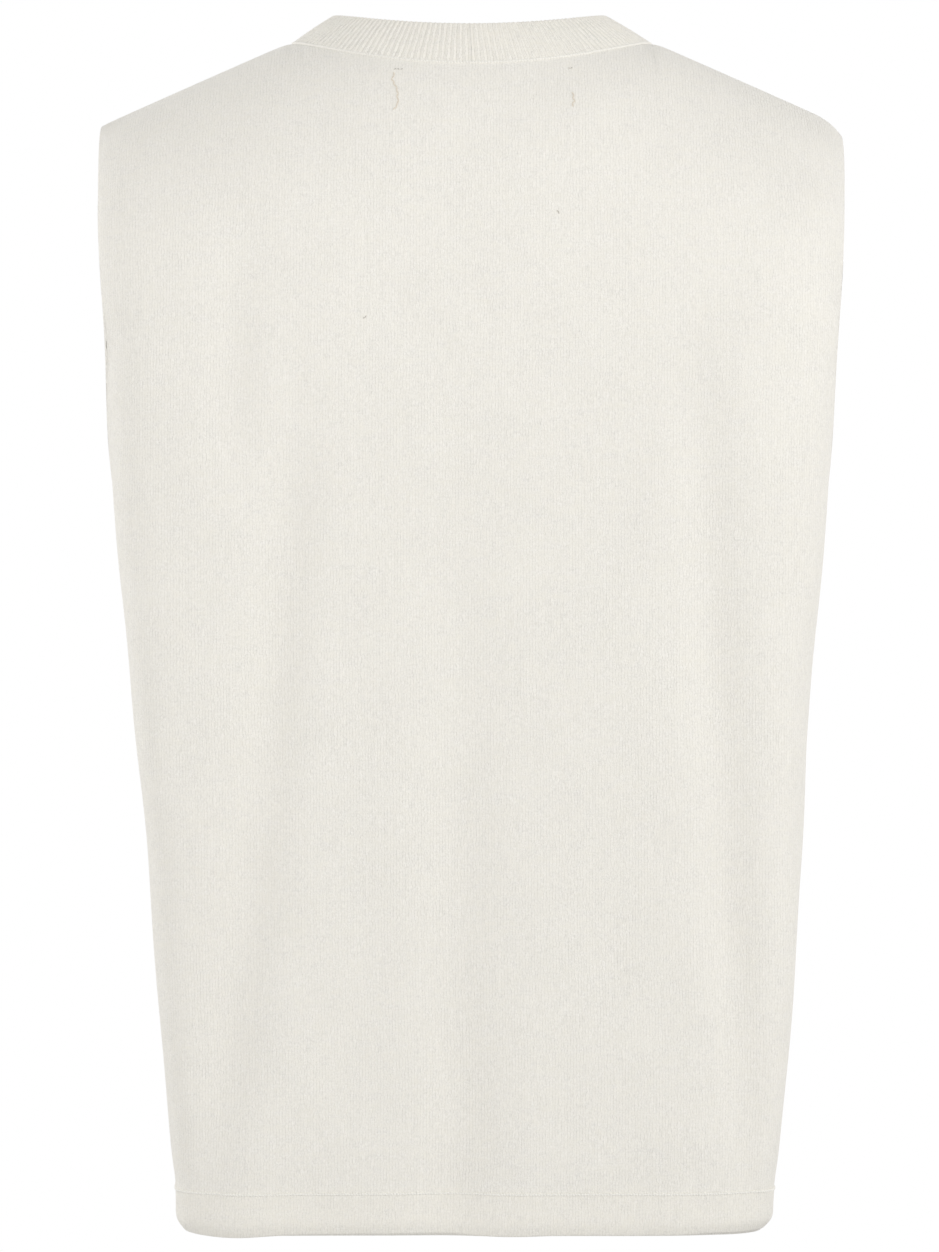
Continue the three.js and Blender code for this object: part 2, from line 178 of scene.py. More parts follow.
# Broad unevenness of the hanging cloth: wavelengths along it and down it, height and phase. A
# wavelength below 0 leans the swell the other way.
SWELLS = (
    {"across": 0.230, "down": 0.310, "height": 0.0010, "phase": 0.6},
    {"across": 0.131, "down": 0.420, "height": 0.0007, "phase": 2.3},
    {"across": 0.083, "down": 0.173, "height": 0.00035, "phase": 4.1},
    {"across": -0.061, "down": 0.117, "height": 0.00022, "phase": 1.2},
)
FRONT_PHASE = 1.9  # sets the front's swells apart from the back's
HEM_PINCH = {"depth": 0.0009, "reach": 0.009}  # the linked hem seam draws the cloth in
SIDE_FADE = 0.08  # share of a panel's half width over which folds die out at its side seam
TOP_FADE = 0.040  # height over which they die out at its upper edge
NUDGE = {"across": 2e-4, "up": 1e-6}  # steps for measuring slopes

# How finely the cloth is divided
SECTION_STEPS = 96
MEASURE_STEPS = 320  # up each column, for its length
RING_POINTS = 1600
NECK_COLUMNS = 36
SHOULDER_COLUMNS = 38
COLUMN_SPREAD = 0.130  # height over which the columns spread from the upper edge's places
PANEL_ROWS = 190
ROWS_BELOW = 0.5  # share of them that lies below the underarm
ROW_CROWD = 0.6  # how much the others crowd towards its ends
HEM_ROWS = 16
EDGE_STEPS = (0.0, 0.0001, 0.0004, 0.0008, 0.0014)  # distances of the rows closest to an edge
EDGE_LEFT = math.sqrt(0.02)  # share of a wall's thickness that a rounded edge keeps


def mix(a, b, t):
    """The value a share t of the way from a to b."""
    return a + (b - a) * t


def smooth(t):
    """An eased step from 0 to 1."""
    t = np.clip(t, 0.0, 1.0)
    return t * t * (3.0 - 2.0 * t)


def unit(vectors):
    """Vectors, in rows, at length 1."""
    return vectors / np.linalg.norm(vectors, axis=-1, keepdims=True)


def section_value(column, z):
    """One column of the section table at each height, on a smooth curve through its rows."""
    table = np.array(SECTIONS)
    knots = table[:, 0]
    values = table[:, SECTION_COLUMNS.index(column)]
    last = len(SECTIONS) - 1
    after = np.minimum(np.arange(last + 1) + 1, last)
    before = np.maximum(np.arange(last + 1) - 1, 0)
    slopes = (values[after] - values[before]) / (knots[after] - knots[before])
    down = np.clip(-z, 0.0, LENGTH)
    i = np.clip(np.searchsorted(knots, down) - 1, 0, last - 1)
    span = knots[i + 1] - knots[i]
    t = (down - knots[i]) / span
    t2 = t * t
    t3 = t2 * t
    return (
        (2 * t3 - 3 * t2 + 1) * values[i]
        + (t3 - 2 * t2 + t) * span * slopes[i]
        + (3 * t2 - 2 * t3) * values[i + 1]
        + (t3 - t2) * span * slopes[i + 1]
    )


def shoulder_line(x):
    """Height of the shoulder line, with a low crown between the high shoulder points."""
    out = np.abs(x) - NECK_HALF
    crown = NECK_CROWN * (1 - (x / NECK_HALF) ** 2)
    start = np.where(x > 0, TIP_ROUND["left"]["start"], TIP_ROUND["right"]["start"])
    drop = np.where(x > 0, TIP_ROUND["left"]["drop"], TIP_ROUND["right"]["drop"])
    tip = np.maximum(0.0, (np.abs(x) - start) / (SHOULDER_HALF - start))
    fall = SHOULDER_SLOPE * (np.hypot(out, NECK_EASE) - NECK_EASE)
    return np.where(out < 0, crown, -fall - drop * tip**3)


def upper_edge(side, x):
    """Height of a panel's upper edge: the neck seam, then the shoulder line."""
    share = np.abs(x) / NECK_HALF
    seam = -NECK_DROP[side] * (1 - np.minimum(share, 1.0) ** NECK_SCOOP)
    return np.where(share < 1, seam, shoulder_line(x))


def dome_share(side, x, z):
    """Share of the section's depth that the cloth has reached below the shoulder line."""
    below = np.clip((shoulder_line(x) - z) / DOME[side], 0.0, 1.0)
    power = mix(DOME_POWER["centre"], DOME_POWER["side"], smooth(np.abs(x) / DOME_EASE))
    return (1 - (1 - below) ** power) ** (1 / power)


def open_share(z):
    """Share of the armhole's whole width that is open: its foot is part of an ellipse."""
    t = (-z - ARMHOLE_STRAIGHT_DOWN) / (UNDERARM_DOWN - ARMHOLE_STRAIGHT_DOWN)
    return np.sqrt(1 - np.clip(t, 0.0, 1.0) ** 2)


class Section:
    """Level sections of one side of the body, from the centre line out, a row for each height."""

    angle = np.linspace(0, math.pi / 2, SECTION_STEPS + 1)

    def __init__(self, side, z):
        half = section_value("half", z)
        power = section_value("square", z) if side == "back" else np.full_like(z, FRONT_SQUARE)
        across = np.sin(self.angle) ** (2 / power[:, None])
        deep = np.maximum(0.0, np.cos(self.angle)) ** (2 / power[:, None])
        self.x = half[:, None] * across
        self.y = section_value(side, z)[:, None] * deep
        steps = np.hypot(np.diff(self.x), np.diff(self.y))
        self.run = np.concatenate([np.zeros((len(z), 1)), np.cumsum(steps, axis=1)], axis=1)
        self.full_run = self.run[:, -1]
        _, _, widest = self.read("x", half - ARMHOLE_INSET)
        self.side_run = mix(self.full_run, widest, open_share(z))

    def read(self, known, value):
        """x, y and run where x or run, which grow outwards, has a given value."""
        table = getattr(self, known)
        i = np.clip((table < value[:, None]).sum(axis=1), 1, SECTION_STEPS)
        rows = np.arange(len(value))
        low = table[rows, i - 1]
        t = np.clip((value - low) / (table[rows, i] - low), 0.0, 1.0)
        return (mix(part[rows, i - 1], part[rows, i], t) for part in (self.x, self.y, self.run))


def column_run(section, share):
    """Length of cloth from the centre line to a column, by its share of the way to the side."""
    gathered = np.maximum(0.0, (share - COLUMN_GATHER) / (1 - COLUMN_GATHER))
    return section.full_run * share - (section.full_run - section.side_run) * gathered**2


def share_at(section, run):
    """The cloth's share of the way to the side, 1 at the armhole edge or side seam."""
    full = section.full_run
    past = run - full * COLUMN_GATHER
    bend = (full - section.side_run) / (1 - COLUMN_GATHER) ** 2
    bend = np.maximum(bend, 1e-9)
    root = np.sqrt(np.maximum(0.0, full**2 - 4 * bend * past))
    gathered = np.minimum(1.0, COLUMN_GATHER + (full - root) / (2 * bend))
    return np.where(past <= 0, run / full, gathered)


def trough(row, along, z):
    """Inward depth of one fold at places on the cloth."""
    t = (-z - row.start) / (row.end - row.start)
    inside = (t > 0) & (t < 1)
    t = np.clip(t, 0.0, 1.0)
    centre = mix(row.at_start, row.at_end, t) + row.bow * 4 * t * (1 - t)
    deepest = row.deepest
    swell = np.where(t < deepest, smooth(t / deepest), smooth((1 - t) / (1 - deepest)))
    depth = row.depth * swell * np.exp(-0.5 * ((along - centre) / row.width) ** 2)
    return np.where(inside, depth, 0.0)


def fold_depth(side, along, z, slight):
    """Inward depth of all folds. slight takes in the smaller creases and swells too."""
    total = sum(trough(row, along, z) for row in FOLDS[side])
    if slight:
        total = total + sum(trough(row, along, z) for row in CREASES[side])
        turn = 0.0 if side == "back" else FRONT_PHASE
        for swell in SWELLS:
            angle = math.tau * (along / swell["across"] + z / swell["down"])
            total = total + swell["height"] * np.sin(angle + swell["phase"] + turn)
    from_seam = (z + LENGTH - HEM_HEIGHT) / HEM_PINCH["reach"]
    return total + HEM_PINCH["depth"] * np.exp(-0.5 * from_seam**2)


def body_point(side, along, z):
    """Points of the body form. along is the length of cloth from the centre line, towards +X."""
    x, y, _ = Section(side, z).read("run", np.abs(along))
    x = np.sign(along) * x
    y = np.maximum(SEAM_GAP / 2, y * dome_share(side, x, z))
    return np.stack([x, y if side == "back" else -y, z], axis=-1)


def body_normal(side, along, z, top):
    """Directions out of the cloth. On a seam they lie in the seam's own plane."""
    low = np.minimum(z, top - NUDGE["up"]) - NUDGE["up"]
    outwards = np.where(along < 0, -1.0, 1.0)
    near = along - outwards * NUDGE["across"]
    here = body_point(side, near, low)
    across = body_point(side, near - outwards * NUDGE["across"], low) - here
    up = body_point(side, near, low + NUDGE["up"]) - here
    normal = unit(np.cross(up, across)) * outwards[:, None]
    return -normal if side == "back" else normal


def cloth(side, along, z, top, slight=True):
    """Points of the cloth's face with the folds taken in, and the directions out of it."""
    along, z, top = (np.asarray(v, dtype=float) for v in np.broadcast_arrays(along, z, top))
    shape = z.shape
    along, z, top = along.ravel(), z.ravel(), top.ravel()
    share = share_at(Section(side, z), np.abs(along))
    side_fade = 1 - smooth((share - 1 + SIDE_FADE) / SIDE_FADE)
    depth = fold_depth(side, along, z, slight) * side_fade * smooth((top - z) / TOP_FADE)
    point = body_point(side, along, z)
    normal = body_normal(side, along, z, top)
    on_seam = np.abs(point[:, 1]) <= SEAM_GAP
    normal[on_seam, 1] = 0.0
    normal = unit(normal)
    point = point - normal * depth[:, None]
    point[:, 0] += section_value("sway", z)
    return point.reshape(*shape, 3), normal.reshape(*shape, 3)


def run_at_edge(side, x):
    """Length of cloth from the centre line to the upper edge above x, and the edge's height."""
    top = upper_edge(side, x)
    _, _, run = Section(side, top).read("x", np.abs(x))
    return np.sign(x) * run, top


def panel_columns():
    """Columns of half a panel: x at its upper edge and share of the way to its side below."""
    angles = np.arange(1, NECK_COLUMNS + 1) / NECK_COLUMNS * (math.pi / 2)
    neck = NECK_HALF * np.sin(angles)
    steps = np.arange(1, SHOULDER_COLUMNS) / SHOULDER_COLUMNS
    shoulder = mix(NECK_HALF, SHOULDER_HALF - EDGE_STEPS[-1], steps)
    x = np.concatenate([neck, shoulder])
    share = np.arange(1, len(x) + 1) / (len(x) + 1)
    return x, share


def spread_rows(low, high, turn, rows):
    """Places of rows up a column. They crowd above turn, the underarm, and towards the top."""
    if not low < turn < high:
        return np.linspace(low, high, rows + 2)[1:-1]
    count = round(rows * ROWS_BELOW)
    share = np.linspace(0, 1, rows - count + 2)[1:-1]
    share = mix(share, (1 - np.cos(math.pi * share)) / 2, ROW_CROWD)
    return np.concatenate([np.linspace(low, turn, count + 1)[1:], mix(turn, high, share)])


def panel_grid(side, foot_of, top_of, rows):
    """Places of a panel's points: along, z and the length up each column, columns first."""
    x, share = panel_columns()
    inset = np.array(EDGE_STEPS[::-1])
    x = np.concatenate([x, SHOULDER_HALF - inset])
    share = np.concatenate([share, np.ones(len(inset))])
    inset = np.concatenate([np.zeros(len(x) - len(inset)), inset])
    x = np.concatenate([-x[::-1], [0.0], x])
    share = np.concatenate([-share[::-1], [0.0], share])
    inset = np.concatenate([inset[::-1], [0.0], inset])
    edge_run, edge_top = run_at_edge(side, x)
    top = top_of(edge_top)
    foot = foot_of(edge_top)

    def place(z):
        """Length of cloth out to each column at heights given in rows."""
        reach = np.repeat(np.abs(share)[:, None], z.shape[1], axis=1)
        run = column_run(Section(side, z.ravel()), reach.ravel()).reshape(z.shape)
        below = np.sign(share)[:, None] * (run - inset[:, None])
        spread = smooth((edge_top[:, None] - z) / COLUMN_SPREAD)
        return mix(edge_run[:, None], below, np.where(reach == 1, 1.0, spread))

    fine = (1 - np.cos(np.linspace(0, math.pi, MEASURE_STEPS))) / 2
    z = mix(foot[:, None], top[:, None], fine)
    along = place(z)
    points = body_point(side, along.ravel(), z.ravel()).reshape(*z.shape, 3)
    steps = np.linalg.norm(np.diff(points, axis=1), axis=2)
    length = np.concatenate([np.zeros((len(x), 1)), np.cumsum(steps, axis=1)], axis=1)
    edge = np.array(EDGE_STEPS)
    grid_z = np.empty((len(x), rows + 2 * len(edge)))
    grid_length = np.empty_like(grid_z)
    for i in range(len(x)):
        total = length[i, -1]
        underarm = np.interp(-UNDERARM_DOWN, z[i], length[i])
        middle = spread_rows(edge[-1], total - edge[-1], underarm, rows)
        wanted = np.concatenate([edge, middle, total - edge[::-1]])
        grid_length[i] = wanted
        grid_z[i] = np.interp(wanted, length[i], z[i])
    return {
        "along": place(grid_z),
        "z": grid_z,
        "length": grid_length,
        "top": np.repeat(edge_top[:, None], grid_z.shape[1], axis=1),
        "inset": np.abs(inset),
    }


def round_over(distance, radius):
    """Share of a wall's half thickness that is left at a distance from its rounded edge."""
    t = np.clip(distance / radius, 0.0, 1.0)
    return np.maximum(EDGE_LEFT, np.sqrt(1 - (1 - t) ** 2))


def seam_dip(distance, depth, reach):
    """How far a linked edge turns in at a distance from the seam."""
    return depth * np.exp(-((distance / reach) ** 2))


def side_distance(side, grid):
    """Length of cloth from each point to the panel's side edge."""
    z = grid["z"]
    side_run = Section(side, z.ravel()).side_run.reshape(z.shape)
    return np.maximum(0.0, side_run - np.abs(grid["along"]))


def new_object(name, points, faces, uv, finish):
    """A smooth mesh object that rides on the vest. faces is a list of arrays of corners."""
    mesh = bpy.data.meshes.new(name)
    corners = np.concatenate([block.ravel() for block in faces])
    sizes = np.concatenate([np.full(len(block), block.shape[1]) for block in faces])
    mesh.vertices.add(len(points))
    mesh.vertices.foreach_set("co", np.asarray(points, np.float32).ravel())
    mesh.loops.add(len(corners))
    mesh.loops.foreach_set("vertex_index", corners.astype(np.int32))
    mesh.polygons.add(len(sizes))
    starts = np.concatenate([[0], np.cumsum(sizes)[:-1]])
    mesh.polygons.foreach_set("loop_start", starts.astype(np.int32))
    mesh.update(calc_edges=True)
    mesh.polygons.foreach_set("use_smooth", np.ones(len(sizes), dtype=bool))
    layer = mesh.uv_layers.new(name="UVMap")
    layer.data.foreach_set("uv", np.asarray(uv, np.float32)[corners].ravel())
    if mesh.validate():
        raise RuntimeError(f"{name} had faces that are not real")
    mesh.materials.append(finish)
    made = bpy.data.objects.new(name, mesh)
    bpy.context.scene.collection.objects.link(made)
    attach(made, "root")
    return made


def closed_wall(name, outer, inner, uv, finish, flip):
    """A wall between two grids of points, columns first, closed along its four edges."""
    columns, rows = outer.shape[:2]
    shift = columns * rows
    index = np.arange(shift).reshape(columns, rows)

    def quads(grid):
        a, b, c, d = grid[:-1, :-1], grid[1:, :-1], grid[1:, 1:], grid[:-1, 1:]
        return np.stack([a, b, c, d], axis=-1).reshape(-1, 4)

    rim = np.concatenate([index[:, 0], index[-1, 1:], index[-2::-1, -1], index[0, -2:0:-1]])
    after = np.roll(rim, -1)
    edge = np.stack([rim, rim + shift, after + shift, after], axis=-1)
    faces = [quads(index), quads(index + shift)[:, ::-1], edge]
    if flip:
        faces = [block[:, ::-1] for block in faces]
    points = np.concatenate([outer.reshape(-1, 3), inner.reshape(-1, 3)])
    return new_object(name, points, faces, np.concatenate([uv, uv]), finish)


BEAD = {"rings": 5, "sides": 7}
STEP_ON = 0.05  # share of the way to a path's next point, for reading its direction

# Stitches: pitch, then half length, half width and half height, then how far each leans, in
# radians, and the height of its middle over the path
NECK_STITCH = {"pitch": 0.00167, "size": (0.00104, 0.00085, 0.00130), "slant": 0.3, "lift": 0.0}
HEM_STITCH = {"pitch": 0.00155, "size": (0.00098, 0.00085, 0.00095), "slant": 0.2, "lift": 0.0}
SHOULDER_STITCH = {
    "pitch": 0.0016, "size": (0.00070, 0.00040, 0.00034), "slant": 0.4, "lift": -0.0003,
}
SIDE_STITCH = {
    "pitch": 0.0014, "size": (0.00062, 0.00038, 0.00034), "slant": 0.35, "lift": -0.0003,
}
TACK_STITCH = {
    "pitch": 0.0021, "size": (0.0013, 0.00046, 0.00030), "slant": 0.4, "lift": 0.0001,
}
# Dark specks: slubs in the wool, and dashes that paint the shadows at the tacks' ends
DARK_SPECK_STITCH = {
    "pitch": 0.0018, "size": (0.0007, 0.00032, 0.00022), "slant": 0.4, "lift": 0.0001,
}


def ellipsoid(rings, sides):
    """Points and faces of a small closed bead of radius 1, long along its first axis."""
    points = [(-1.0, 0.0, 0.0)]
    for i in range(1, rings):
        angle = math.pi * i / rings
        for k in range(sides):
            turn = math.tau * k / sides
            ring = math.sin(angle)
            points.append((-math.cos(angle), ring * math.cos(turn), ring * math.sin(turn)))
    points.append((1.0, 0.0, 0.0))
    last = len(points) - 1
    triangles = []
    quads = []
    for k in range(sides):
        after = (k + 1) % sides
        triangles.append((0, 1 + after, 1 + k))
        triangles.append((last, last - sides + k, last - sides + after))
        for i in range(rings - 2):
            low = 1 + i * sides
            quads.append((low + k, low + after, low + sides + after, low + sides + k))
    return np.array(points), np.array(triangles), np.array(quads)


def beads(name, places, axes, size, finish):
    """Many small stitches as one mesh. axes holds three directions for each place."""
    shape, triangles, quads = ellipsoid(**BEAD)
    points = places[:, None, :] + np.einsum("vk,nkj->nvj", shape * np.array(size), axes)
    shift = (np.arange(len(places)) * len(shape))[:, None, None]
    faces = [(block[None] + shift).reshape(-1, block.shape[1]) for block in (triangles, quads)]
    points = points.reshape(-1, 3)
    return new_object(name, points, faces, points[:, [0, 2]], finish)


def even_places(path, pitch):
    """Places about a pitch apart along a polyline, counted in its points."""
    steps = np.linalg.norm(np.diff(path, axis=0), axis=1)
    run = np.concatenate([[0.0], np.cumsum(steps)])
    count = max(2, round(run[-1] / pitch))
    wanted = (np.arange(count) + 0.5) * run[-1] / count
    return np.interp(wanted, run, np.arange(len(path)))


def read_path(path, places):
    """Rows of a polyline's values at places between its points."""
    low = np.clip(places.astype(int), 0, len(path) - 2)
    return mix(path[low], path[low + 1], (places - low)[:, None])


def stitch_row(name, path, normals, stitch, finish):
    """A row of stitches along a path, every other one leaning the other way."""
    places = even_places(path, stitch["pitch"])
    centre = read_path(path, places)
    normal = unit(read_path(normals, places))
    along = unit(read_path(path, np.minimum(places + STEP_ON, len(path) - 1.0)) - centre)
    across = unit(np.cross(normal, along))
    normal = unit(np.cross(along, across))
    lean = np.where(np.arange(len(places)) % 2, -stitch["slant"], stitch["slant"])[:, None]
    first = np.cos(lean) * along + np.sin(lean) * across
    second = np.cos(lean) * across - np.sin(lean) * along
    axes = np.stack([first, second, normal], axis=1)
    return beads(name, centre + normal * stitch["lift"], axes, stitch["size"], finish)


class Value:
    """A socket in a material. Arithmetic on it adds Math nodes."""

    def __init__(self, shader, socket):
        self.shader = shader
        self.socket = socket

    def __add__(self, other):
        return self.shader.math("ADD", self, other)

    def __sub__(self, other):
        return self.shader.math("SUBTRACT", self, other)

    def __rsub__(self, other):
        return self.shader.math("SUBTRACT", other, self)

    def __mul__(self, other):
        return self.shader.math("MULTIPLY", self, other)

    def __truediv__(self, other):
        return self.shader.math("DIVIDE", self, other)

    def __mod__(self, other):
        return self.shader.math("FLOORED_MODULO", self, other)

    def __abs__(self):
        return self.shader.math("ABSOLUTE", self)

    __radd__ = __add__
    __rmul__ = __mul__


COLOUR_A, COLOUR_B = 6, 7  # the Mix node's two colours, by number, as their names aren't their own


class Shader:
    """The nodes of a material or of the world."""

    def __init__(self, owner):
        self.owner = owner
        owner.use_nodes = True
        self.tree = owner.node_tree
        self.tree.nodes.clear()

    def node(self, kind, settings=None, inputs=None, output=0):
        """Adds a node: its settings first, then the values or links of its sockets."""
        made = self.tree.nodes.new(kind)
        for key, value in (settings or {}).items():
            setattr(made, key, value)
        for key, value in (inputs or {}).items():
            if isinstance(value, Value):
                self.tree.links.new(value.socket, made.inputs[key])
            else:
                made.inputs[key].default_value = value
        return Value(self, made.outputs[output]) if made.outputs else None

    def math(self, operation, *values):
        """A Math node on values or numbers."""
        inputs = dict(enumerate(values))
        return self.node("ShaderNodeMath", {"operation": operation}, inputs)

    def blend_colour(self, share, first, second):
        """Two colours mixed by a share."""
        inputs = {"Factor": share, COLOUR_A: first, COLOUR_B: second}
        return self.node("ShaderNodeMix", {"data_type": "RGBA"}, inputs, output=2)

    def noise(self, place, size, detail=2.0, rough=0.5):
        """Cloudy values about 0.5, with blobs of a size in metres."""
        inputs = {"Vector": place, "Scale": 1 / size, "Detail": detail, "Roughness": rough}
        return self.node("ShaderNodeTexNoise", None, inputs)

    def part(self, vector, number):
        """One of the three numbers of a vector."""
        return self.node("ShaderNodeSeparateXYZ", None, {"Vector": vector}, number)

    def relief(self, height, depth):
        """Directions of a surface with raised places, depth metres high where height is 1."""
        inputs = {"Strength": 1.0, "Distance": depth, "Height": height}
        return self.node("ShaderNodeBump", None, inputs)

    def finish(self, colour, roughness, normal, sheen):
        """The surface, with the constants of its nap on its own sockets."""
        inputs = {
            "Base Color": colour,
            "Roughness": roughness,
            "Normal": normal,
            "Sheen Weight": sheen,
            "Sheen Roughness": 0.45,
            "Sheen Tint": (1.0, 0.985, 0.95, 1.0),
            "Specular IOR Level": 0.25,
        }
        surface = self.node("ShaderNodeBsdfPrincipled", None, inputs)
        self.node("ShaderNodeOutputMaterial", None, {"Surface": surface})
        return self.owner


# Plain knit: how much of its height is each wale's own bow and how much its legs of yarn, how far
# the legs slant, in courses, and its mean height
BOW_SHARE = 0.35
LEG_SLANT = 0.7
KNIT_MEAN = 0.56
RIB_UV_PITCH = 0.003  # one rib on the neckband's UV map

# Unevenness of the wool: size of its clouds in metres, detail and roughness
WANDER = (0.0042, 3.0, 0.6)  # sways the wales
DRIFT = (0.0045, 3.0, 0.6)  # lifts and drops the courses
FELT = (0.0011, 4.0, 0.62)  # matted fibres of the nap
FLUFF = (0.0036, 3.0, 0.6)  # its tufts
WORN = (0.021, 2.0, 0.5)  # where it hides the stitches less
STREAK = (0.006, 4.0, 0.65)  # fibres that lie along the courses
FUZZ = (0.0007, 3.0, 0.6)  # of a thread
STREAK_SHAPE = (0.35, 0.35, 1.3)
WANDER_REACH = 1.4  # in wales
DRIFT_REACH = 1.8  # in courses

# Tints of the wool's dark, light and yellowed fibres, and of a thread's dark ones. The wool's dark
# and light tints also carry the painted shade of its stitches.
DEEP_FIBRE = (0.83, 0.83, 0.815)
PALE_FIBRE = (1.12, 1.12, 1.14)
WARM_FIBRE = (1.0, 0.992, 0.955)
DEEP_THREAD = (0.86, 0.86, 0.86)
PALE_SHARE = 0.66  # how far the wool is from its dark fibres to its light ones, on average
YELLOW_FROM = 0.6  # the fibres yellow where streaks and tufts together pass this
GRAIN = {"felt": 3.0, "fluff": 0.9, "streak": 0.6}  # how much each shows in the colour
FLUFF_RISE = 0.7  # height of the tufts beside that of the felt
STITCH_CLEAR = (0.55, 0.95)  # how much the stitches rise where the nap hides them most and least
WOOL_ROUGHNESS = (0.84, 0.96)
THREAD_ROUGHNESS = (0.82, 0.92)
SHEEN = {"wool": 0.35, "thread": 0.3}

# Knit finishes. relief: heights of the stitches and of the nap. mottle: how much lighter and
# darker the fibres get; it scales the painted stitch shade as well. Last: painted shade of the
# stitches, how much darker their gaps and lighter their tops are made in the colour.
BODY_KNIT = {"relief": (0.00026, 0.00018), "mottle": 0.55, "stitch_shade": 1.1}
RIB_KNIT = {"relief": (0.00026, 0.00016), "mottle": 0.80, "stitch_shade": 1.8}
HEM_KNIT = {"relief": (0.00024, 0.00014), "mottle": 0.55, "stitch_shade": 1.1}
FUZZ_RELIEF = 0.0001


def plain_knit_height(shader, across, along, wale, course):
    """Height of plain knit, 0 to 1: two slanting legs to a wale, one pair to a course."""
    place = across / wale % 1.0
    bow = shader.math("SINE", place * math.pi)
    leg = shader.math("SINE", (place * 2 % 1.0) * math.pi)
    lean = abs(place - 0.5) * 2
    stitch = shader.math("SINE", ((along / course + lean * LEG_SLANT) % 1.0) * math.pi)
    return bow * BOW_SHARE + leg * (stitch * 0.5 + 0.5) * (1 - BOW_SHARE)


def toned(tint, gains):
    """A colour made darker or lighter, part by part."""
    return tuple(min(1.0, part * gain) for part, gain in zip(tint, gains)) + (1.0,)


def wool(name, tint, gauge, relief, mottle, stitch_shade):
    """Brushed wool knit: worn-in stitches, a wale and a course in size, under a felted nap, with
    the shade between the stitches painted into its colour.
    """
    shader = Shader(bpy.data.materials.new(name))
    place = shader.node("ShaderNodeTexCoord", None, None, "Object")
    flat = shader.node("ShaderNodeTexCoord", None, None, "UV")
    wale, course = gauge
    across = shader.part(flat, 0) + (shader.noise(place, *WANDER) - 0.5) * (wale * WANDER_REACH)
    along = shader.part(flat, 1) + (shader.noise(place, *DRIFT) - 0.5) * (course * DRIFT_REACH)
    knit = plain_knit_height(shader, across, along, wale, course)
    felt = shader.noise(place, *FELT)
    fluff = shader.noise(place, *FLUFF)
    worn = shader.noise(place, *WORN)
    streak_place = shader.node("ShaderNodeMapping", None, {"Vector": place, "Scale": STREAK_SHAPE})
    streak = shader.noise(streak_place, *STREAK)

    stitches, nap = relief
    height = knit * mix(*STITCH_CLEAR, worn) * stitches + (felt + fluff * FLUFF_RISE) * nap
    grain = (felt - 0.5) * GRAIN["felt"] + (fluff - 0.5) * GRAIN["fluff"]
    grain = grain + (streak - 0.5) * GRAIN["streak"]
    # Painted shade: the knit's height darkens the gaps between stitches and lightens their tops,
    # on top of the fibres' random tone
    light = (grain + (knit - KNIT_MEAN) * stitch_shade) * mottle + PALE_SHARE
    fibre = shader.blend_colour(light, toned(tint, DEEP_FIBRE), toned(tint, PALE_FIBRE))
    yellowed = streak + fluff - YELLOW_FROM
    colour = shader.blend_colour(yellowed, fibre, toned(tint, WARM_FIBRE))
    roughness = mix(*WOOL_ROUGHNESS, felt)
    return shader.finish(colour, roughness, shader.relief(height, 1.0), SHEEN["wool"])


def thread(name, tint):
    """Fine sewing yarn, twisted."""
    shader = Shader(bpy.data.materials.new(name))
    place = shader.node("ShaderNodeTexCoord", None, None, "Object")
    fuzz = shader.noise(place, *FUZZ)
    colour = shader.blend_colour(fuzz, toned(tint, DEEP_THREAD), (*tint, 1.0))
    roughness = mix(*THREAD_ROUGHNESS, fuzz)
    return shader.finish(colour, roughness, shader.relief(fuzz, FUZZ_RELIEF), SHEEN["thread"])


class VestKnit(bpy.types.PropertyGroup):
    """Sizes of the knitting."""

    cloth: bpy.props.FloatProperty(
        name="Cloth", description="Thickness of the single knit", default=0.002, unit="LENGTH"
    )
    hem_cloth: bpy.props.FloatProperty(
        name="Hem", description="Thickness of the doubled hem band", default=0.0026, unit="LENGTH"
    )
    band_cloth: bpy.props.FloatProperty(
        name="Neckband", description="Thickness of the doubled rib", default=0.003, unit="LENGTH"
    )
    wale: bpy.props.FloatProperty(
        name="Wale", description="Width of one column of stitches", default=0.00165, unit="LENGTH"
    )
    course: bpy.props.FloatProperty(
        name="Course", description="Height of one row of stitches", default=0.0013, unit="LENGTH"
    )
    ribs: bpy.props.IntProperty(
        name="Ribs", description="Knit ribs round the neckband", default=180
    )
    rib_relief: bpy.props.FloatProperty(
        name="Rib Relief", description="Ridge to groove", default=0.0006, unit="LENGTH"
    )


class VestColours(bpy.types.PropertyGroup):
    """Colours of the wool."""

    body: bpy.props.FloatVectorProperty(
        name="Panels", description="Colour of the panels", subtype="COLOR", size=3,
        default=(0.886, 0.863, 0.808),
    )
    rib: bpy.props.FloatVectorProperty(
        name="Neckband", description="Colour of the rib", subtype="COLOR", size=3,
        default=(0.897, 0.870, 0.807),
    )
    hem: bpy.props.FloatVectorProperty(
        name="Hem", description="Colour of the hem bands", subtype="COLOR", size=3,
        default=(0.880, 0.855, 0.795),
    )
    # The linking yarn's own pale colour, made paler still to paint the light on the seams' raised
    # stitches
    seam: bpy.props.FloatVectorProperty(
        name="Seams", description="Colour of the linking yarn", subtype="COLOR", size=3,
        default=(0.96, 0.94, 0.88),
    )
    tack: bpy.props.FloatVectorProperty(
        name="Tacks", description="Colour of the tacking thread", subtype="COLOR", size=3,
        default=(0.83, 0.76, 0.65),
    )
    # Colour of the dark specks: the slubs' own, and painted shadow at the tacks' ends
    dark: bpy.props.FloatVectorProperty(
        name="Dark Thread", description="Colour of the thread ends and slubs", subtype="COLOR",
        size=3, default=(0.60, 0.57, 0.51),
    )


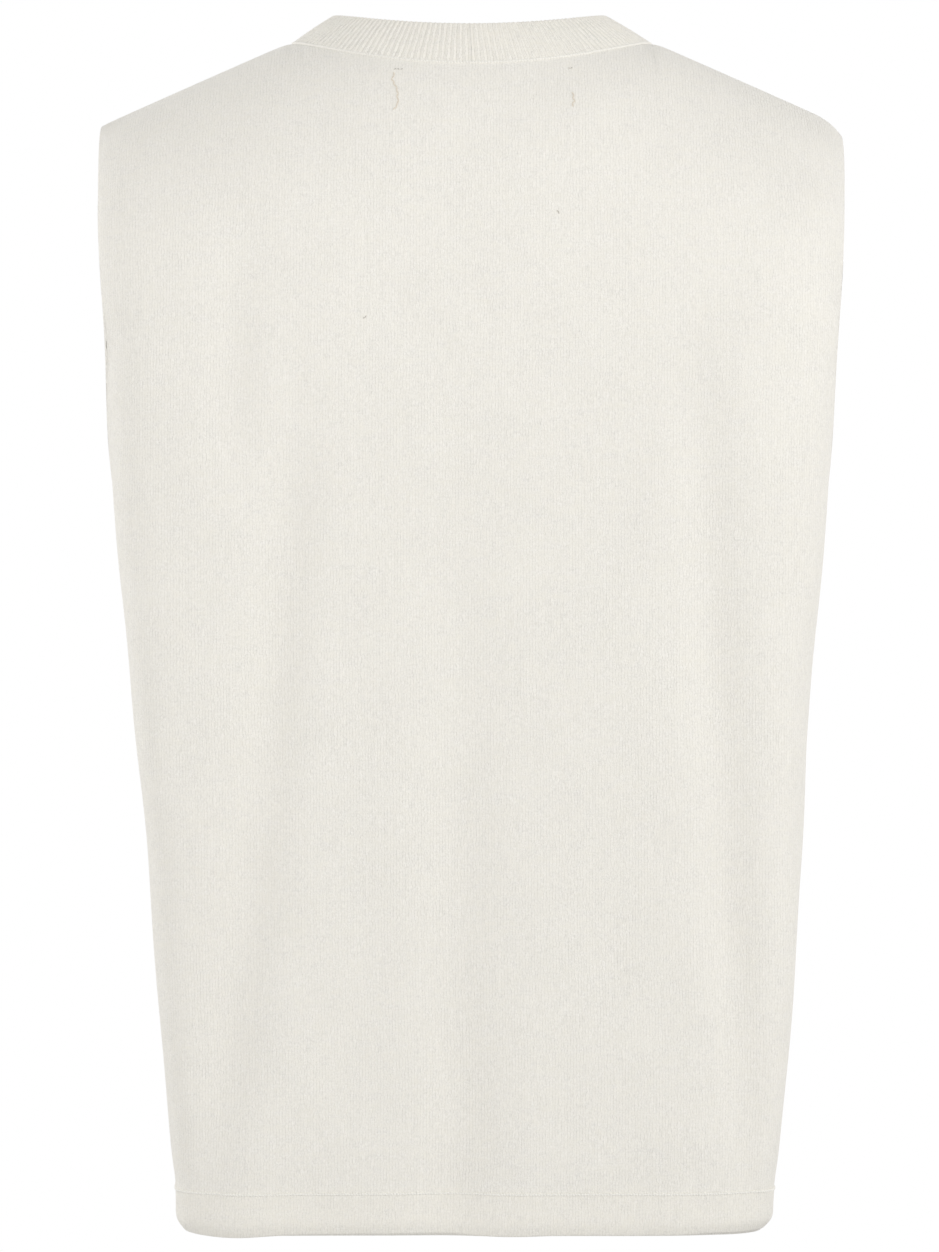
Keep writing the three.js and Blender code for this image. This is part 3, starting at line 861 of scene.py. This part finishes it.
class VestStudio(bpy.types.PropertyGroup):
    """Camera, floor and lights."""

    camera_away: bpy.props.FloatProperty(
        name="Camera Distance", description="From the shoulder line", default=2.4, unit="LENGTH"
    )
    camera_down: bpy.props.FloatProperty(
        name="Camera Drop", description="Below the shoulders", default=0.325, unit="LENGTH"
    )
    view_height: bpy.props.FloatProperty(
        name="View Height", description="Height that the picture takes in", default=0.7011,
        unit="LENGTH",
    )
    floor_down: bpy.props.FloatProperty(
        name="Floor Drop", description="Floor below the shoulders", default=0.92, unit="LENGTH"
    )
    key: bpy.props.FloatProperty(name="Key", description="Power of the main light", default=8.7)
    fill: bpy.props.FloatProperty(
        name="Fill", description="Power of the other lights", default=4.4
    )
    ambient: bpy.props.FloatProperty(
        name="Ambient", description="Strength of the light from all round", default=0.978
    )


OVERHEAD_DIM = 0.66  # how much darker the air is straight above and below than at eye level

# Square lamps: place, height that they aim at, size, and the setting that gives their power
LAMPS = {
    "key": {"place": (-1.70, 1.15, 0.24), "aim": -0.18, "size": 0.8, "power": "key"},
    "back_fill": {"place": (1.10, 1.60, 0.25), "aim": -0.15, "size": 1.2, "power": "fill"},
    "front_key": {"place": (1.70, -1.15, 0.24), "aim": -0.18, "size": 0.8, "power": "key"},
    "front_fill": {"place": (-1.10, -1.60, 0.25), "aim": -0.15, "size": 1.2, "power": "fill"},
}
FLOOR = {"radius": 1.35, "corners": 128, "colour": (0.72, 0.72, 0.716, 1.0), "roughness": 0.7}
FLOOR_GRAIN = {"size": 0.01, "relief": 0.0002}


def build_lamps(studio):
    """The soft square lamps, aimed at points on the vest's own upright line."""
    for name, row in LAMPS.items():
        lamp = bpy.data.lights.new(name, "AREA")
        lamp.shape = "SQUARE"
        lamp.size = row["size"]
        lamp.energy = getattr(studio, row["power"])
        made = bpy.data.objects.new(name, lamp)
        made.location = row["place"]
        towards = Vector((0.0, 0.0, row["aim"])) - Vector(row["place"])
        made.rotation_euler = towards.to_track_quat("-Z", "Y").to_euler()
        bpy.context.scene.collection.objects.link(made)


def build_camera(studio):
    """A level camera behind the vest."""
    camera = bpy.data.cameras.new("camera")
    camera.lens = camera.sensor_width * studio.camera_away / studio.view_height
    made = bpy.data.objects.new("camera", camera)
    made.location = (0.0, studio.camera_away, -studio.camera_down)
    made.rotation_euler = (math.pi / 2, 0.0, math.pi)
    bpy.context.scene.collection.objects.link(made)
    bpy.context.scene.camera = made


def build_floor(down):
    """A pale round floor below the vest, which throws light back up at it."""
    bpy.ops.mesh.primitive_circle_add(
        vertices=FLOOR["corners"], radius=FLOOR["radius"], fill_type="NGON"
    )
    floor = bpy.context.object
    floor.name = "floor"
    floor.location.z = -down
    shader = Shader(bpy.data.materials.new("studio_floor"))
    place = shader.node("ShaderNodeTexCoord", None, None, "Object")
    grain = shader.noise(place, FLOOR_GRAIN["size"])
    normal = shader.relief(grain, FLOOR_GRAIN["relief"])
    inputs = {"Base Color": FLOOR["colour"], "Roughness": FLOOR["roughness"], "Normal": normal}
    surface = shader.node("ShaderNodeBsdfPrincipled", None, inputs)
    shader.node("ShaderNodeOutputMaterial", None, {"Surface": surface})
    floor.data.materials.append(shader.owner)


def build_world(ambient):
    """White surroundings, brightest near eye level, that light the cloth softly from all round."""
    world = bpy.data.worlds.new("studio_air")
    shader = Shader(world)
    direction = shader.node("ShaderNodeTexCoord", None, None, "Generated")
    up = shader.part(direction, 2)
    strength = (1.0 - up * up * OVERHEAD_DIM) * ambient
    white = {"Color": (1.0, 1.0, 1.0, 1.0)}
    lit = shader.node("ShaderNodeBackground", None, {**white, "Strength": strength})
    seen = shader.node("ShaderNodeBackground", None, {**white, "Strength": 1.0})
    rays = shader.node("ShaderNodeLightPath", None, None, "Is Camera Ray")
    both = shader.node("ShaderNodeMixShader", None, {0: rays, 1: lit, 2: seen})
    shader.node("ShaderNodeOutputWorld", None, {"Surface": both})
    bpy.context.scene.world = world


class VEST_OT_build_studio(bpy.types.Operator):
    """Make the camera, the floor and the lights"""

    bl_idname = "vest.build_studio"
    bl_label = "Studio"

    def execute(self, context):
        studio = context.scene.vest_studio
        context.scene.view_settings.view_transform = "Standard"
        build_world(studio.ambient)
        build_camera(studio)
        build_lamps(studio)
        build_floor(studio.floor_down)
        return {"FINISHED"}


def make_finishes():
    """The materials that the pieces share."""
    knit = bpy.context.scene.vest_knit
    colours = bpy.context.scene.vest_colours
    gauge = (knit.wale, knit.course)
    rib_gauge = (RIB_UV_PITCH / 2, knit.course)
    wool("body_wool", colours.body, gauge, **BODY_KNIT)
    wool("rib_wool", colours.rib, rib_gauge, **RIB_KNIT)
    wool("hem_wool", colours.hem, gauge, **HEM_KNIT)
    thread("seam_yarn", colours.seam)
    thread("tack_thread", colours.tack)
    # Dark specks: the slubs' own colour, and painted shadows at the tacks' ends
    thread("dark_thread", colours.dark)


def finish_named(name):
    """One of the shared materials, made when first asked for."""
    if name not in bpy.data.materials:
        make_finishes()
    return bpy.data.materials[name]


# How the edges turn at the seams, and the hem's roll below its seam
LINKED_TURN = {"depth": 0.00008, "reach": 0.0004}
SIDE_TURN = {"depth": 0.0006, "reach": 0.0008}
HEM_ROLL = {"depth": 0.0003, "reach": 0.0013}
ROLL_DOWN = 0.001  # from the seam to the roll
ARMHOLE_EASE = 0.006  # height over which a side seam becomes an armhole edge


def body_wall(side, grid, thickness, out, free_foot):
    """Outer and inner points of a strip of a panel, with its edges rounded or turned in."""
    point, normal = cloth(side, grid["along"], grid["z"], grid["top"])
    length = grid["length"]
    armhole = smooth((grid["z"] + UNDERARM_DOWN) / ARMHOLE_EASE)
    from_side = side_distance(side, grid)
    from_top = length[:, -1:] - length
    left = mix(1.0, round_over(from_side, thickness / 2), armhole)
    dip = seam_dip(from_top, **LINKED_TURN)
    if free_foot:
        left = left * round_over(length, thickness / 2)
        dip = dip - seam_dip(from_top - ROLL_DOWN, **HEM_ROLL)
    else:
        dip = dip + seam_dip(length, **LINKED_TURN)
    dip = np.maximum(dip, seam_dip(from_side, **SIDE_TURN) * (1 - armhole))
    trim = (1 - left) * thickness / 2
    outer = point + normal * (out - trim - dip)[..., None]
    inner = point + normal * (out - thickness + trim)[..., None]
    return outer, inner


def knit_strip(name, side, grid, wall, finish):
    """One piece of a panel, from its grid and the settings of its wall."""
    outer, inner = body_wall(side, grid, **wall)
    uv = np.stack([grid["along"], grid["length"]], axis=-1).reshape(-1, 2)
    return closed_wall(name, outer, inner, uv, finish_named(finish), side == "back")


class VEST_OT_knit_panels(bpy.types.Operator):
    """Knit the back and front panels"""

    bl_idname = "vest.knit_panels"
    bl_label = "Back and Front"

    def execute(self, context):
        wall = {"thickness": context.scene.vest_knit.cloth, "out": 0.0, "free_foot": False}
        foot = -LENGTH + HEM_HEIGHT + SEAM_GAP / 2
        cuts = {
            "back": {"flat": (0.55, 0.69), "area": 0.312},
            "front": {"flat": (0.53, 0.68), "area": 0.290},
        }
        for side, cut in cuts.items():
            grid = panel_grid(
                side, lambda top: np.full_like(top, foot), lambda top: top, PANEL_ROWS
            )
            name = f"{side}_panel_knit"
            made = knit_strip(name, side, grid, wall, "body_wool")
            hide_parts(f"{side}_panel")
        return {"FINISHED"}


class VEST_OT_knit_hems(bpy.types.Operator):
    """Knit the doubled hem bands"""

    bl_idname = "vest.knit_hems"
    bl_label = "Hem Bands"

    def execute(self, context):
        knit = context.scene.vest_knit
        out = (knit.hem_cloth - knit.cloth) / 2
        wall = {"thickness": knit.hem_cloth, "out": out, "free_foot": True}
        head = -LENGTH + HEM_HEIGHT - SEAM_GAP / 2
        for side, width in {"back": 0.48, "front": 0.44}.items():
            grid = panel_grid(
                side,
                lambda top: np.full_like(top, -LENGTH),
                lambda top: np.full_like(top, head),
                HEM_ROWS,
            )
            name = f"hem_{side}_band"
            made = knit_strip(name, side, grid, wall, "hem_wool")
            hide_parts(f"hem_{side}")
        return {"FINISHED"}


def neck_ring(place):
    """Points round the neck from the centre back by way of +X, as place gives them."""
    angle = np.arange(RING_POINTS) / RING_POINTS * math.tau
    points = np.empty((RING_POINTS, 3))
    behind = np.cos(angle) > 0
    for side, chosen in (("back", behind), ("front", ~behind)):
        points[chosen] = place(side, angle[chosen])
    return points


def neck_seam(out):
    """The panels' neck edges, moved out of the cloth by a distance."""

    def place(side, angle):
        along, top = run_at_edge(side, NECK_HALF * np.sin(angle))
        point, normal = cloth(side, along, top, top, slight=False)
        return point + normal * out

    return neck_ring(place)


def collar_edge():
    """The neckband's free edge."""

    def place(side, angle):
        depth = np.cos(angle)
        rise = mix(COLLAR["side_rise"], COLLAR[side]["rise"], np.abs(depth) ** COLLAR_DIP)
        x = COLLAR["half"] * np.sin(angle)
        return np.stack([x, COLLAR[side]["depth"] * depth, rise], axis=-1)

    return neck_ring(place)


def evenly_round(ring, count):
    """A closed ring's points, spaced evenly, the directions along it and its length."""
    closed = np.concatenate([ring, ring[:1]])
    steps = np.linalg.norm(np.diff(closed, axis=0), axis=1)
    run = np.concatenate([[0.0], np.cumsum(steps)])
    wanted = np.arange(count) * run[-1] / count
    places = np.stack([np.interp(wanted, run, closed[:, k]) for k in range(3)], axis=-1)
    tangent = unit(np.roll(places, -1, axis=0) - np.roll(places, 1, axis=0))
    return places, tangent, run[-1]


RIB_STEPS = 8  # points across one rib and its groove
RIB_FULLNESS = 0.7  # power that makes the ridges fuller than the grooves
BAND_RISE = (0.0, 0.03, 0.08, 0.16, 0.26, 0.37, 0.48, 0.59, 0.70, 0.80, 0.88, 0.93)
LIP = {"share": 0.95, "height": 0.0012}  # where the band turns over, and the turn's height
LIP_STEPS = 6
INNER_RELIEF = 0.0004  # ridge to groove on the band's inner face


def band_rows(knit, ridge):
    """The neckband's rows: share of its height, depth out of the cloth, and lift.

    They run up its outer face, over its lip and down its inner face.
    """
    half = knit.band_cloth / 2
    rows = [(share, knit.rib_relief * ridge, 0.0) for share in BAND_RISE]
    for k in range(LIP_STEPS + 1):
        turn = math.pi * k / LIP_STEPS
        depth = half * (math.cos(turn) - 1) + knit.rib_relief * ridge * max(0.0, math.cos(turn))
        rows.append((LIP["share"], depth, LIP["height"] * math.sin(turn)))
    inner = INNER_RELIEF * (1 - ridge) - knit.band_cloth
    rows += [(share, inner, 0.0) for share in reversed(BAND_RISE)]
    return rows


class VEST_OT_knit_neckband(bpy.types.Operator):
    """Knit the doubled rib neckband"""

    bl_idname = "vest.knit_neckband"
    bl_label = "Neckband"

    def execute(self, context):
        knit = context.scene.vest_knit
        count = knit.ribs * RIB_STEPS
        foot, tangent, seam_run = evenly_round(neck_seam(BAND_PROUD), count)
        head, _, head_run = evenly_round(collar_edge(), count)
        rise = unit(head - foot)
        out = unit(np.cross(rise, tangent))
        ribs = np.arange(count) / RIB_STEPS
        ridge = (0.5 + 0.5 * np.cos(ribs * math.tau)) ** RIB_FULLNESS
        points = []
        for share, depth, lift in band_rows(knit, ridge):
            bow = COLLAR_SWELL * 4 * share * (1 - share)
            points.append(mix(foot, head, share) + rise * lift + out * (bow + depth)[:, None])
        points = np.stack(points, axis=1)
        steps = np.linalg.norm(np.diff(points[0], axis=0), axis=1)
        length = np.concatenate([[0.0], np.cumsum(steps)])
        across, along = np.meshgrid(ribs * RIB_UV_PITCH, length, indexing="ij")
        uv = np.stack([across, along], axis=-1).reshape(-1, 2)
        index = np.arange(len(uv)).reshape(count, -1)
        over = np.roll(index, -1, axis=1)
        corners = [index, over, np.roll(over, -1, axis=0), np.roll(index, -1, axis=0)]
        faces = [np.stack(corners, axis=-1).reshape(-1, 4)]
        finish = finish_named("rib_wool")
        made = new_object("neckband_rib", points.reshape(-1, 3), faces, uv, finish)
        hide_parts("neckband")
        round((seam_run + head_run) / 2, 3)
        return {"FINISHED"}


SIDES = {"left": 1.0, "right": -1.0}
SEAM_POINTS = {"hem": 900, "shoulder": 300, "side": 700}
NECK_LINKING_IN = 0.0001  # how deep its stitches lie in the cloth's face
NECK_REACH_OUT = 0.001  # gives the directions out of it
SHOULDER_SEAM_IN = 0.001  # its stitches stop this far short at both ends
SIDE_SEAM_IN = {"hem": 0.0015, "underarm": 0.0005}


class VEST_OT_link_seams(bpy.types.Operator):
    """Link the seams with rows of small stitches"""

    bl_idname = "vest.link_seams"
    bl_label = "Linked Seams"

    def execute(self, context):
        yarn = finish_named("seam_yarn")
        self.link_neck(yarn)
        self.link_hem(yarn)
        self.link_shoulders(yarn)
        self.link_sides(yarn)
        return {"FINISHED"}

    def link_neck(self, yarn):
        """Round the foot of the neckband."""
        ring, _, _ = evenly_round(neck_seam(-NECK_LINKING_IN), RING_POINTS)
        outer, _, _ = evenly_round(neck_seam(NECK_REACH_OUT), RING_POINTS)
        normals = unit(outer - ring)
        ring = np.concatenate([ring, ring[:1]])
        normals = np.concatenate([normals, normals[:1]])
        stitch_row("neck_linking", ring, normals, NECK_STITCH, yarn)

    def link_hem(self, yarn):
        """Round the head of the hem bands."""
        z = -LENGTH + HEM_HEIGHT
        for side in ("back", "front"):
            limit = Section(side, np.array([z])).side_run[0]
            along = np.linspace(-limit, limit, SEAM_POINTS["hem"])
            path, normals = cloth(side, along, z, 0.0)
            stitch_row(f"hem_{side}_linking", path, normals, HEM_STITCH, yarn)

    def link_shoulders(self, yarn):
        """Along the shoulder lines, from the neckband to the tips."""
        ends = (NECK_HALF + SHOULDER_SEAM_IN, SHOULDER_HALF - SHOULDER_SEAM_IN)
        for name, sign in SIDES.items():
            x = sign * np.linspace(*ends, SEAM_POINTS["shoulder"])
            sway = section_value("sway", shoulder_line(x))
            path = np.stack([x + sway, np.zeros_like(x), shoulder_line(x)], axis=-1)
            tangent = unit(np.gradient(path, axis=0))
            normals = unit(np.cross(tangent, np.array([0.0, sign, 0.0])))
            normals *= np.sign(normals[:, 2:])
            title = f"shoulder_{name}_linking"
            stitch_row(title, path, normals, SHOULDER_STITCH, yarn)

    def link_sides(self, yarn):
        """Up the side seams, from the hem's edge to the underarm."""
        foot = -LENGTH + SIDE_SEAM_IN["hem"]
        head = -UNDERARM_DOWN - SIDE_SEAM_IN["underarm"]
        z = np.linspace(foot, head, SEAM_POINTS["side"])
        for name, sign in SIDES.items():
            limit = Section("back", z).side_run
            path, normals = cloth("back", sign * limit, z, 0.0)
            path[:, 1] = 0.0
            stitch_row(f"side_{name}_linking", path, normals, SIDE_STITCH, yarn)


# Tacking stitches below the back neck, dark dashes that paint the shadows at their ends, and slubs
# in the wool. spots: places across and down.
TACKS = {
    "tack_left": {
        "thread": "tack_thread", "stitch": TACK_STITCH,
        "spots": (
            (0.0420, -0.0244), (0.0431, -0.0288), (0.0404, -0.0342),
            (0.0399, -0.0423), (0.0420, -0.0461),
        ),
    },
    "tack_right": {
        "thread": "tack_thread", "stitch": TACK_STITCH,
        "spots": ((-0.0545, -0.0369), (-0.0551, -0.0423), (-0.0540, -0.0450)),
    },
    # Dark dashes that paint the shadows at the tacks' ends
    "tack_end_left": {
        "thread": "dark_thread", "stitch": DARK_SPECK_STITCH,
        "spots": ((0.0425, -0.0224), (0.0371, -0.0226)),
    },
    "tack_end_right": {
        "thread": "dark_thread", "stitch": DARK_SPECK_STITCH,
        "spots": ((-0.0548, -0.0214), (-0.0526, -0.0220)),
    },
    "slub_left": {
        "thread": "dark_thread", "stitch": DARK_SPECK_STITCH,
        "spots": ((0.0562, -0.1588), (0.0580, -0.1602)),
    },
    "slub_right": {
        "thread": "dark_thread", "stitch": DARK_SPECK_STITCH,
        "spots": ((-0.0459, -0.1020), (-0.0470, -0.1036)),
    },
}
TACK_POINTS = 60


class VEST_OT_sew_tacks(bpy.types.Operator):
    """Sew the short rows of tacking stitches below the back neck, the painted shadows at their
    ends, and the slubs
    """

    bl_idname = "vest.sew_tacks"
    bl_label = "Tacks and Slubs"

    def execute(self, context):
        for name, row in TACKS.items():
            spots = np.array(row["spots"])
            steps = np.linspace(0, len(spots) - 1, TACK_POINTS)
            x = np.interp(steps, np.arange(len(spots)), spots[:, 0])
            z = np.interp(steps, np.arange(len(spots)), spots[:, 1])
            _, _, run = Section("back", z).read("x", np.abs(x))
            path, normals = cloth("back", np.sign(x) * run, z, upper_edge("back", x))
            finish = finish_named(row["thread"])
            stitch_row(name, path, normals, row["stitch"], finish)
        return {"FINISHED"}


class VEST_PT_build(bpy.types.Panel):
    """Builds the vest piece by piece"""

    bl_label = "Knitted Vest"
    bl_idname = "VEST_PT_build"
    bl_space_type = "VIEW_3D"
    bl_region_type = "UI"
    bl_category = "Knitted Vest"

    def draw(self, context):
        layout = self.layout
        for group in GROUPS:
            settings = getattr(context.scene, group)
            box = layout.box()
            for name in settings.__annotations__:
                box.prop(settings, name)
        for operator in OPERATORS:
            layout.operator(operator.bl_idname)


GROUPS = {"vest_knit": VestKnit, "vest_colours": VestColours, "vest_studio": VestStudio}
OPERATORS = (
    VEST_OT_build_studio,
    VEST_OT_knit_panels,
    VEST_OT_knit_hems,
    VEST_OT_knit_neckband,
    VEST_OT_link_seams,
    VEST_OT_sew_tacks,
)


def register():
    """Registers the classes and the scene's settings."""
    for made in (*GROUPS.values(), *OPERATORS, VEST_PT_build):
        bpy.utils.register_class(made)
    for name, group in GROUPS.items():
        setattr(bpy.types.Scene, name, bpy.props.PointerProperty(type=group))


def unregister():
    """Takes them off again."""
    for name in GROUPS:
        delattr(bpy.types.Scene, name)
    for made in (VEST_PT_build, *reversed(OPERATORS), *GROUPS.values()):
        bpy.utils.unregister_class(made)


def main():
    """Builds the vest and its studio."""
    register()
    for operator in OPERATORS:
        group, name = operator.bl_idname.split(".")
        getattr(getattr(bpy.ops, group), name)()


if __name__ == "__main__":
    main()
